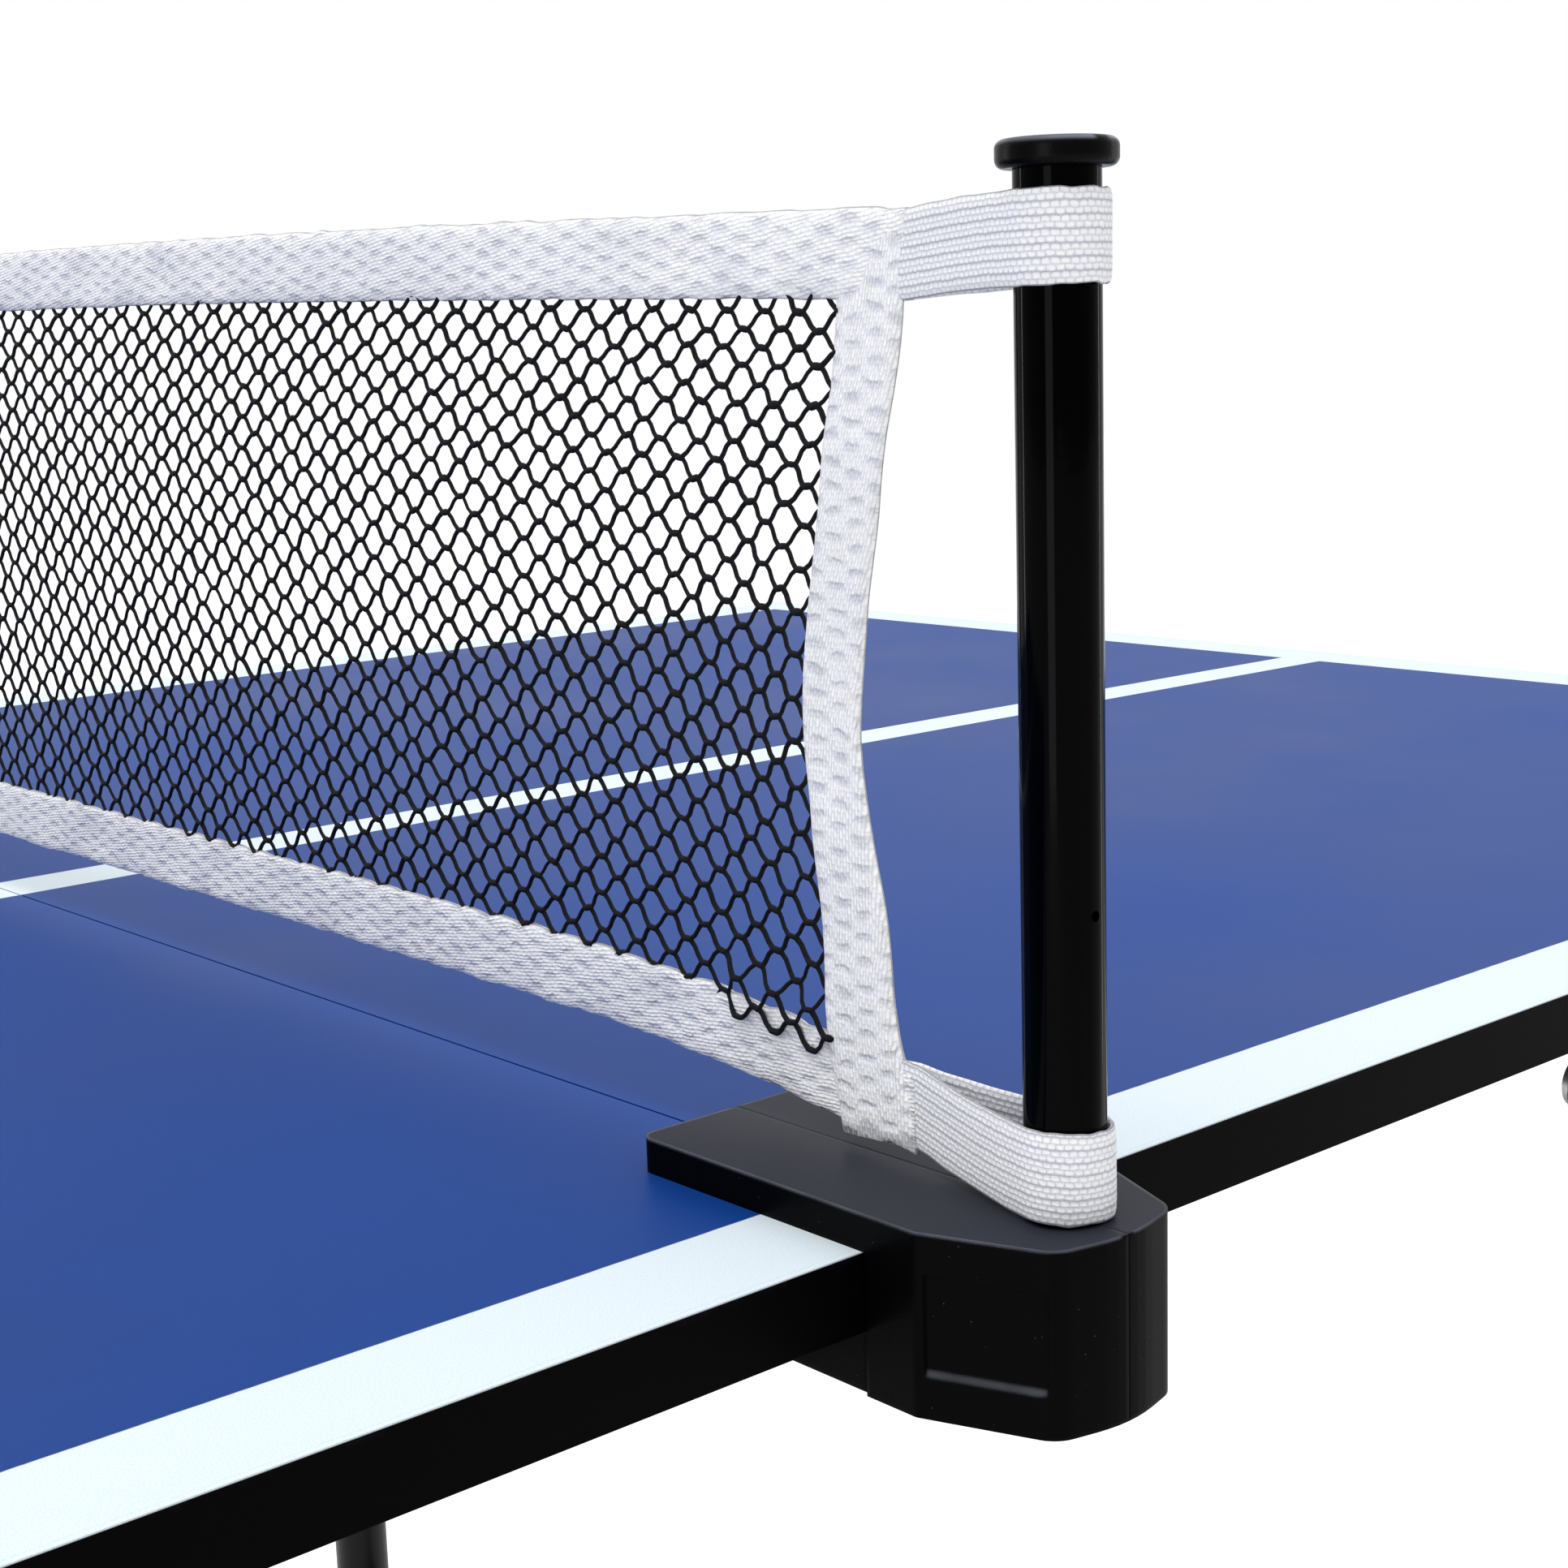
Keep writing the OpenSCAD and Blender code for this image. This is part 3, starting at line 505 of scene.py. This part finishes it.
def smooth_line(z, zs, ys):
    """Cubic (Catmull-Rom) value through the listed points."""
    zs, ys = np.array(zs, float), np.array(ys, float)
    slope = np.gradient(ys, zs)
    i = np.clip(np.searchsorted(zs, z) - 1, 0, len(zs) - 2)
    h = zs[i + 1] - zs[i]
    t = (z - zs[i]) / h
    return ((2 * t**3 - 3 * t**2 + 1) * ys[i] + (t**3 - 2 * t**2 + t) * h * slope[i]
            + (3 * t**2 - 2 * t**3) * ys[i + 1] + (t**3 - t**2) * h * slope[i + 1])


def ribbon(name, centre, across, thick, material, seed, edge=0.12, rumple=0.2, scallop=0.0):
    """A closed flat tape and its length in m.

    centre and across, its half-width vector, have a row for each station. edge and rumple are
    the unevenness of its two edges and of its faces, scallop the depth of the bites that the
    net's columns take out of its upper edge.
    """
    fullness = 10                         # of the cross-section: 2 is an ellipse
    back = 0.05                           # shift of the back's UVs
    face_step, edge_step = 7, 3           # stations over which the unevenness changes
    n = len(centre)
    thick = np.broadcast_to(np.array(thick, float), n)
    normal = unit(np.cross(unit(np.gradient(centre, axis=0)), across))
    half = np.linalg.norm(across, axis=1)
    steps = np.linalg.norm(np.diff(centre, axis=0), axis=1)
    length = np.concatenate([[0], np.cumsum(steps)])

    front = np.concatenate([[-1, -0.97], np.linspace(-0.86, 0.86, 9), [0.97, 1]])
    places = np.concatenate([front, front[-2:0:-1]])
    sign = np.concatenate([np.ones(len(front)), -np.ones(len(front) - 2)])
    depth = sign * np.sqrt(np.clip(1 - np.abs(places) ** fullness, 0, 1))

    waves = [wobble(seed + k, n, rumple, face_step) for k in range(3)]
    upper, lower = wobble(seed + 5, n, edge, edge_step), wobble(seed + 6, n, edge, edge_step)
    upper = upper + scallop * (np.abs(np.sin(math.pi * centre[:, 1] / COLUMN)) ** 0.6 - 0.7)

    around = len(places)
    verts, uvs = np.zeros((n, around, 3)), np.zeros((n, around, 2))
    for k, a in enumerate(places):
        out = waves[0] + waves[1] * a + waves[2] * math.cos(2.4 * a)
        reach = a * (1 + (upper if a > 0 else lower) * abs(a) ** 3 / half)
        verts[:, k] = (centre + across * reach[:, None]
                       + normal * (depth[k] * thick / 2 + out)[:, None])
        uvs[:, k, 0] = length * MM
        uvs[:, k, 1] = a * half * MM + back * (sign[k] < 0)
    faces = [(i * around + k, i * around + (k + 1) % around,
              (i + 1) * around + (k + 1) % around, (i + 1) * around + k)
             for i in range(n - 1) for k in range(around)]
    faces += [tuple(range(around - 1, -1, -1)), tuple((n - 1) * around + k for k in range(around))]
    o = mesh_object(name, (verts * MM).reshape(-1, 3), faces, material, uvs.reshape(-1, 2))
    return o, float(length[-1]) * MM


TAPE, ELASTIC, YARN = tape_cloth(), elastic_cloth(), net_yarn()

# The side tape's outer and inner edge, inwards from the table's side, by height above the top
EDGE_Z = [9.2, 20, 28, 48, 66, 80, 101, 125, 152, 168]
EDGE_OUT = [8.6, 11.3, 14.0, 16.2, 20.0, 21.5, 19.5, 14.6, 9.2, 8.0]
EDGE_IN = [28.5, 30.8, 31.6, 32.6, 34.6, 36.0, 33.8, 29.6, 25.2, 24.5]


def top_rise(y):
    """The top tape stands higher between the posts than at its ends, as in the photograph."""
    return 7.0 * np.sin(math.pi * y / SPAN) - 1.0


def low_drop(y):
    """The bottom tape hangs lower towards its ends."""
    from_end = np.minimum(y, SPAN - y)
    return 1.2 - 8.4 * np.exp(-(from_end / 52) ** 1.6)


def long_tape(name, z_pair, shift, ends, thick, seed, extra, scallop=0.0):
    """A tape along the net.

    shift gives its height's change along the net, ends how far from the table's sides it
    stops and extra how much it reaches past z_pair on either edge.
    """
    stations = 600
    y = np.linspace(ends, SPAN - ends, stations)
    centre = xyz(0.15 * np.sin(y / 31), y, sum(z_pair) / 2 + shift(y))
    across = upright((z_pair[1] - z_pair[0]) / 2 + extra, y)
    return ribbon(name, centre, across, thick, TAPE, seed, scallop=scallop)


def side_tape(name, side, seed):
    """The bowed tape at one end of the net: side is -1 at the front and 1 at the rear."""
    stations = 66
    z = np.linspace(EDGE_Z[0] + 0.2, TOP_TAPE[1] - 2.5, stations)
    out, inner = smooth_line(z, EDGE_Z, EDGE_OUT), smooth_line(z, EDGE_Z, EDGE_IN)
    mid, half = (out + inner) / 2, (inner - out) / 2
    if side > 0:
        mid = SPAN - mid
    centre = xyz(-0.1 * np.ones_like(z), mid, z)
    # the lower end slants down towards the post, along the bottom tape's edge
    slant = side * 0.7 * np.exp(-(z - EDGE_Z[0]) / 9)
    across = np.stack([np.zeros_like(z), side * -half, slant], axis=-1)
    # it is thicker where it is sewn over the bottom tape
    thick = np.interp(z, [12, 30, 45, 150], [3.0, 2.9, 2.1, 1.9])
    return ribbon(name, centre, across, thick, TAPE, seed)


def loop(name, side, z_pair, rise, tilt, seed):
    """An elastic band from inside the net's corner round the post and back.

    rise lifts its end at the net, tilt lowers its run on the +x side.
    """
    thick, gap, half_thick = 1.15, 0.3, 0.6
    leave, end = 9.0, 14.5                # where its two runs part and where they are sewn in
    r = POST_R / MM + gap + half_thick
    axis = POST_OUT / MM
    reach = axis + leave
    turn = math.acos(r / reach)           # where a run meets the post
    arc = np.linspace(turn, 2 * math.pi - turn, 44)
    ring = np.stack([r * np.sin(arc), r * np.cos(arc) - axis], axis=-1)
    part = np.array([0.3, leave])
    sewn = np.array([0.1, end])
    lead = [sewn + (part - sewn) * t for t in np.linspace(0, 0.9, 6)]
    lead += [part + (ring[0] - part) * t for t in np.linspace(0, 0.96, 20)]
    tail = [p * [-1, 1] for p in lead[::-1]]
    x, y = np.concatenate([lead, ring, tail]).T
    near_net = share(y + axis, r, reach)
    z = sum(z_pair) / 2 + rise * near_net ** 1.3 - tilt * x * (1 - near_net)
    if side > 0:
        y = SPAN - y
    across = upright((z_pair[1] - z_pair[0]) / 2, z)
    return ribbon(name, xyz(x, y, z), across, thick, ELASTIC, seed, edge=0.1, rumple=0.05)


def tubes(lines, radii, sides):
    """Vertices and faces of many short tubes in the net's plane, from lines (n, k, 3) and
    radii (n, k)."""
    n, k, _ = lines.shape
    along = unit(np.gradient(lines, axis=1))
    out = np.array([1.0, 0, 0])
    across = unit(np.cross(along, out))
    t = np.arange(sides) * 2 * math.pi / sides
    ring = (across[:, :, None, :] * np.cos(t)[None, None, :, None]
            + out * np.sin(t)[None, None, :, None])
    verts = lines[:, :, None, :] + radii[:, :, None, None] * ring
    base = (np.arange(n) * k * sides)[:, None, None]
    i, j = np.meshgrid(np.arange(k - 1), np.arange(sides), indexing="ij")
    after = (j + 1) % sides
    quads = np.stack([base + i * sides + j, base + i * sides + after,
                      base + (i + 1) * sides + after, base + (i + 1) * sides + j], axis=-1)
    first = base.ravel().tolist()
    last = [b + (k - 1) * sides for b in first]
    faces = [tuple(q) for q in quads.reshape(-1, 4).tolist()]
    faces += [tuple(range(b, b + sides)) for b in first]
    faces += [tuple(range(b + sides - 1, b - 1, -1)) for b in last]
    return verts.reshape(-1, 3), faces


def net_knots():
    """Knot places (rows, columns), and which of them hang before the bottom tape's corner."""
    lowest, highest = 19, 161             # rows of knots, above the top
    tape_in = 25                          # the side tape's inner edge where it doesn't bow
    stray_y, stray_z = 0.22, 0.16         # of a knot
    r = np.random.default_rng(11)
    cols = int(SPAN / COLUMN) + 2

    # the meshes are tallest about a third of the way up
    t = np.linspace(0, 1, 200)
    rate = 1 + 0.1 * np.cos(math.pi * (t - 0.32) / 0.68)
    level = np.concatenate([[0], np.cumsum((rate[1:] + rate[:-1]) / 2)])
    level = lowest + (highest - lowest) * level / level[-1]
    z_row = np.interp(np.linspace(0, 1, ROWS), t, level)
    j, i = np.meshgrid(np.arange(ROWS), np.arange(cols), indexing="ij")
    y = SPAN / 2 + (i - (cols - 1) / 2 + np.where(j % 2, 0.25, -0.25)) * COLUMN
    z = np.broadcast_to(z_row[:, None], y.shape).copy()
    near = np.minimum(y, SPAN - y)        # distance from the nearer side of the table

    # columns follow the bow of the side tape, and upper rows are drawn towards the posts
    bow = np.clip(smooth_line(z_row, EDGE_Z, EDGE_IN)[:, None] - tape_in, 0, None)
    bow = bow * np.exp(-np.clip(near - tape_in, 0, None) / 55)
    up = np.clip((z - 112) / 46, 0, 1.1)
    pull = 10.5 * up ** 1.6 * np.sin(math.pi * share(near, 34, SPAN / 2)) ** 0.6
    y = y + np.where(y < SPAN / 2, 1.0, -1.0) * (bow - pull)
    # rows follow the nearer of the two long tapes
    z = z + share(z, 30, 150) * top_rise(y) + share(z, 120, 30) * low_drop(y)
    y += r.normal(0, stray_y, y.shape)
    z += r.normal(0, stray_z, y.shape)
    # away from its edges the net waves a little out of its plane
    x = (0.5 * np.sin(y / 47) * np.sin(math.pi * share(z, 30, 153))
         * share(np.minimum(y, SPAN - y), 36, 66))
    # the first meshes hang over the bottom tape in front of its corner
    corner = (near < 52) & (z < 32)
    x = np.where(corner, -1.55, x)
    return x, y, z, corner


def net_piece():
    """The net: a strand from knot to knot and a short, thicker tube across each knot."""
    knot_half = 0.95                      # half a knot's length, where its strands start
    hidden = 3.8                          # how far the net reaches in behind a long tape
    strand_r = np.array([0.5, 0.45, 0.45, 0.5])
    arm = np.array([-1.35, -0.85, 0.0, 0.85, 1.35])   # places along a knot, and their radii
    knot_r = np.array([0.3, 0.6, 0.66, 0.6, 0.3])
    uneven = 0.08                         # of the radii
    x, y, z, corner = net_knots()
    places = xyz(x, y, z)
    near = np.minimum(y, SPAN - y)
    inside = smooth_line(np.clip(z, 12, 167), EDGE_Z, EDGE_IN) - 3.0
    low = np.where(corner, 21.5, (LOW_TAPE[1] - hidden) + low_drop(y))
    shown = (near > inside) & (z > low) & (z < TOP_TAPE[0] + hidden + top_rise(y))

    r = np.random.default_rng(12)
    lines, radii = [], []
    rows, cols = y.shape
    for j in range(rows - 1):
        for i in range(cols):
            for to, end in (((i, 1), (i - 1, -1)) if j % 2 == 0 else ((i + 1, 1), (i, -1))):
                if 0 <= to < cols and shown[j, i] and shown[j + 1, to]:
                    a = places[j, i] + np.array([0, knot_half * end, 0])
                    b = places[j + 1, to] - np.array([0, knot_half * end, 0])
                    sag = np.array([r.normal(0, 0.05), r.normal(0, 0.12), r.normal(0, 0.08)])
                    bend = np.array([0, end * 0.18, 0])
                    lines.append([a, a * 0.7 + b * 0.3 + bend + sag,
                                  a * 0.3 + b * 0.7 - bend + sag, b])
                    radii.append(strand_r * (1 + r.normal(0, uneven)))
    v1, f1 = tubes(np.array(lines), np.array(radii), sides=5)

    knots = places[shown]
    n = len(knots)
    tilt = r.normal(0, 0.13, n)[:, None]
    lines = knots[:, None, :] + np.stack(
        [np.zeros((n, len(arm))), arm * np.cos(tilt), arm * np.sin(tilt)], axis=-1)
    v2, f2 = tubes(lines, knot_r * (1 + r.normal(0, uneven, (n, 1))), sides=6)
    faces = f1 + [tuple(k + len(v1) for k in f) for f in f2]
    return mesh_object("net_strands", np.concatenate([v1, v2]) * MM, faces, YARN)


def add_cloth(made, replaced):
    o, length = made
    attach(o, "table")
    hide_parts(replaced)


# the lower loops rest on the clamps
LOW_LOOP = [LOWER_BAND[0] - 1.3, LOWER_BAND[1] - 0.2]

add_cloth(long_tape("top_tape", TOP_TAPE, top_rise, ends=7.6, thick=2.4, seed=21, extra=0.1),
          "net_top_tape")
add_cloth(long_tape("bottom_tape", LOW_TAPE, low_drop, ends=9.5, thick=1.9, seed=31, extra=0.2,
                    scallop=0.9),
          "net_bottom_tape")
for side, word in ((-1, "front"), (1, "rear")):
    add_cloth(side_tape(word + "_side_tape", side, seed=41 + side),
              "net_side_tapes")
    add_cloth(loop(word + "_upper_loop", side, UPPER_BAND, rise=-1.2, tilt=0, seed=51 + side),
              "upper_loops")
    add_cloth(loop(word + "_lower_loop", side, LOW_LOOP, rise=2.6, tilt=0.05, seed=61 + side),
              "lower_loops")

strands = net_piece()
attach(strands, "table")
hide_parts("net_mesh")


# ---- Floor and light ----

def make_floor():
    size = 14.0
    white = Nodes("studio_floor").set(Base_Color=srgb(250, 250, 250), Roughness=0.8,
                                      Specular_IOR_Level=0.1)
    corners = [(-size, -size, 0), (size, -size, 0), (size, size, 0), (-size, size, 0)]
    mesh_object("studio_floor", corners, [(0, 1, 2, 3)], white.mat)


def make_world():
    """A white backdrop that lights the table less from the camera's side than from beyond it."""
    world = bpy.data.worlds.new("studio")
    bpy.context.scene.world = world
    world.use_nodes = True
    tree = world.node_tree
    link = tree.links.new
    back = tree.nodes["Background"]
    back.inputs["Color"].default_value = (1, 1, 1, 1)

    def new(kind):
        return tree.nodes.new("ShaderNode" + kind)

    def ramp(value, lo, hi, out_lo, out_hi):
        node = new("MapRange")
        link(value, node.inputs[0])
        for socket, v in zip(node.inputs[1:5], (lo, hi, out_lo, out_hi)):
            if isinstance(v, bpy.types.NodeSocket):
                link(v, socket)
            else:
                socket.default_value = v
        return node.outputs[0]

    place = new("TexCoord").outputs["Generated"]
    split, behind = new("SeparateXYZ"), new("VectorMath")
    link(place, split.inputs[0])
    link(place, behind.inputs[0])
    behind.operation = "DOT_PRODUCT"
    behind.inputs[1].default_value = (0.66, 0.75, 0)     # the way the camera looks, levelled
    horizon = ramp(behind.outputs["Value"], -0.6, 0.9, 0.3, 1.0)
    sky = ramp(split.outputs[2], 0.0, 0.8, horizon, 1.3)
    seen = new("LightPath").outputs["Is Camera Ray"]
    link(ramp(seen, 0.0, 1.0, sky, 1.0), back.inputs["Strength"])


def soft_box(name, azimuth, distance, height, size, power):
    """An area light that stands round the near half of the net and looks at it."""
    aim = Vector((0, -0.2, 0.7))
    data = bpy.data.lights.new(name, "AREA")
    data.shape, data.size, data.size_y = "RECTANGLE", *size
    data.energy = power
    o = bpy.data.objects.new(name, data)
    a = math.radians(azimuth)
    at = aim + Vector((math.cos(a) * distance, math.sin(a) * distance, 0))
    at.z = height
    o.location = at
    o.rotation_mode = "QUATERNION"
    o.rotation_quaternion = (aim - at).to_track_quat("-Z", "Y")
    bpy.context.scene.collection.objects.link(o)


make_floor()
make_world()
soft_box("overhead", azimuth=100, distance=0.6, height=3.2, size=(2.4, 2.4), power=5)
soft_box("key", azimuth=200, distance=0.5, height=3.0, size=(0.8, 0.8), power=13)
soft_box("left_panel", azimuth=200, distance=4.0, height=0.95, size=(1.3, 2.6), power=38)
soft_box("left_back_strip", azimuth=116, distance=2.4, height=1.0, size=(0.1, 2.0), power=8)
soft_box("right_strip", azimuth=344, distance=2.2, height=1.0, size=(0.1, 2.0), power=4)
bpy.context.scene.view_settings.view_transform = "Standard"
